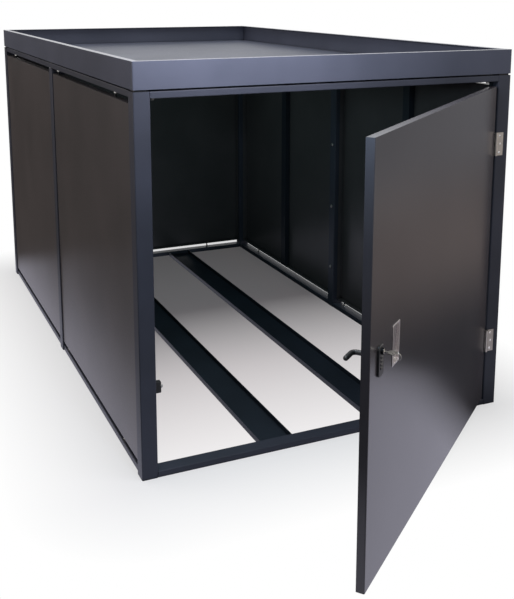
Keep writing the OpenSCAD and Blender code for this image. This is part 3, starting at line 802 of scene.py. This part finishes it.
# The coats mirror dark boards round a pale sheet under the object and in front of the door; the sheet glows
# for glossy rays only, though it is no lamp, a painted reflection.
# To the right the boards turn grey, and paler towards the wall of the room.
sheets = []
for low, high, reach in pale_sheets:
    away = floor_distance(Vector((*low, 0)), Vector((*high, 0)))
    sheets.append(add_node(tree, "ShaderNodeMapRange", {
        "Value": away, "From Min": sheet_edge, "From Max": reach, "To Min": 1.0, "To Max": 0.0}))
sheet = add_node(tree, "ShaderNodeMath", {
    0: sheets[0].outputs["Result"], 1: sheets[1].outputs["Result"]}, operation="MAXIMUM")
slant = add_node(tree, "ShaderNodeVectorMath", {0: place, 1: board_slant}, operation="DOT_PRODUCT")
boards = linear("#4c4744")
for start, end, tint in board_tints:
    paler = add_node(tree, "ShaderNodeMapRange", {
        "Value": slant.outputs["Value"], "From Min": start, "From Max": end})
    boards = add_node(tree, "ShaderNodeMix", {
        MIX_FACTOR: paler.outputs["Result"], MIX_FIRST: boards, MIX_SECOND: linear(tint)},
        data_type="RGBA").outputs[MIX_RESULT]
tone = add_node(tree, "ShaderNodeMix", {
    MIX_FACTOR: sheet.outputs["Value"], MIX_FIRST: boards, MIX_SECOND: linear("#b4b4b7")}, data_type="RGBA")
matt = add_node(tree, "ShaderNodeBsdfDiffuse", {"Color": tone.outputs[MIX_RESULT]})
sheen = add_node(tree, "ShaderNodeEmission", {"Color": linear("#e2e1f3"), "Strength": 1.0})
lit = add_node(tree, "ShaderNodeMath", {
    0: sheet.outputs["Value"], 1: path.outputs["Is Glossy Ray"]}, operation="MULTIPLY")
mirrored = add_node(tree, "ShaderNodeMixShader", {
    "Fac": lit.outputs["Value"], 1: matt.outputs["BSDF"], 2: sheen.outputs["Emission"]})
mixed = add_node(tree, "ShaderNodeMixShader", {
    "Fac": path.outputs["Is Camera Ray"], 1: mirrored.outputs["Shader"], 2: seen.outputs["Shader"]})
add_node(tree, "ShaderNodeOutputMaterial", {"Surface": mixed.outputs["Shader"]})
floor.data.materials.append(floor_paint)

surround_strength = 0.35
world = bpy.data.worlds.new("white_surround")
world.use_nodes = True
bpy.context.scene.world = world
tree = world.node_tree
tree.nodes.clear()
path = add_node(tree, "ShaderNodeLightPath", {})
clear = path.outputs["Is Camera Ray"]
for ray in ("Is Glossy Ray", "Is Transmission Ray"):
    either = add_node(tree, "ShaderNodeMath", {0: clear, 1: path.outputs[ray]}, operation="MAXIMUM")
    clear = either.outputs["Value"]
dim = add_node(tree, "ShaderNodeBackground", {"Color": linear("#e9ebf0"), "Strength": surround_strength})
white = add_node(tree, "ShaderNodeBackground", {"Color": (1, 1, 1, 1), "Strength": 1.0})
mixed = add_node(tree, "ShaderNodeMixShader", {
    "Fac": clear, 1: dim.outputs["Background"], 2: white.outputs["Background"]})
add_node(tree, "ShaderNodeOutputWorld", {"Surface": mixed.outputs["Shader"]})

# Dark cloth: it hangs behind at the left, out of the picture, and the eye never sees it.
# It keeps the side wall from mirroring the white surround.
cloth_left, cloth_right, cloth_top, cloth_y = -8.0, -0.9, 1.6, 6.5
cloth_roughness = 0.9
bpy.ops.object.select_all(action="DESELECT")
bpy.ops.mesh.primitive_plane_add(size=1, rotation=(math.pi / 2, 0, 0))
cloth = bpy.context.object
cloth.scale = (cloth_right - cloth_left, cloth_top, 1)
cloth.location = ((cloth_left + cloth_right) / 2, cloth_y, cloth_top / 2)
bpy.ops.object.transform_apply(location=True, rotation=True, scale=True)
cloth.name = "dark_cloth"
cloth.visible_camera = False
cloth_stuff = bpy.data.materials.new("dark_studio_cloth")
cloth_stuff.use_nodes = True
cloth_shader = cloth_stuff.node_tree.nodes["Principled BSDF"]
cloth_shader.inputs["Base Color"].default_value = linear("#3a322e")
cloth_shader.inputs["Roughness"].default_value = cloth_roughness
cloth.data.materials.append(cloth_stuff)

# Lamps: a strip close above the front edge, a small lamp at the door's end, a softbox overhead and a fill on
# either side. A weak one hangs under the roof, and its light leaves through the slots.
# Each has its name, its place, the point that it is aimed at, its size in metres, its watts and its colour.
lamps = (("front_strip", (-0.42, -0.36, 1.54), (-0.42, 0.0, 1.18), (0.9, 0.2), 9.0, "#e8e5ee"),
         ("door_end_lamp", (-0.533, -0.924, 1.33), (-0.339, -0.767, 1.05), (0.12, 0.12), 3.2, "#c6e6ff"),
         ("overhead_softbox", (0.0, 0.9, 4.0), (0.0, 0.9, 0.0), (3.0, 3.0), 70, "#ffffff"),
         ("left_fill", (-3.3, 2.6, 1.3), (-0.65, 1.4, 0.5), (2.0, 2.0), 34, "#fff0e8"),
         ("right_fill", (4.0, -1.2, 1.6), (0.0, 0.0, 0.6), (2.0, 2.0), 40, "#fff0e6"),
         ("light_through_slots", (0.0, 1.1, 1.10), (0.0, 1.1, 0.0), (0.9, 1.8), 2.6, "#c8f0f4"))
for name, spot, aim, size, watts, tint in lamps:
    lamp = bpy.data.lights.new(name, "AREA")
    lamp.shape = "RECTANGLE"
    lamp.size, lamp.size_y = size
    lamp.energy = watts
    lamp.color = linear(tint)[:3]
    holder = bpy.data.objects.new(name, lamp)
    holder.location = spot
    holder.visible_camera = False
    holder.rotation_euler = (Vector(aim) - Vector(spot)).to_track_quat("-Z", "Y").to_euler()
    bpy.context.scene.collection.objects.link(holder)
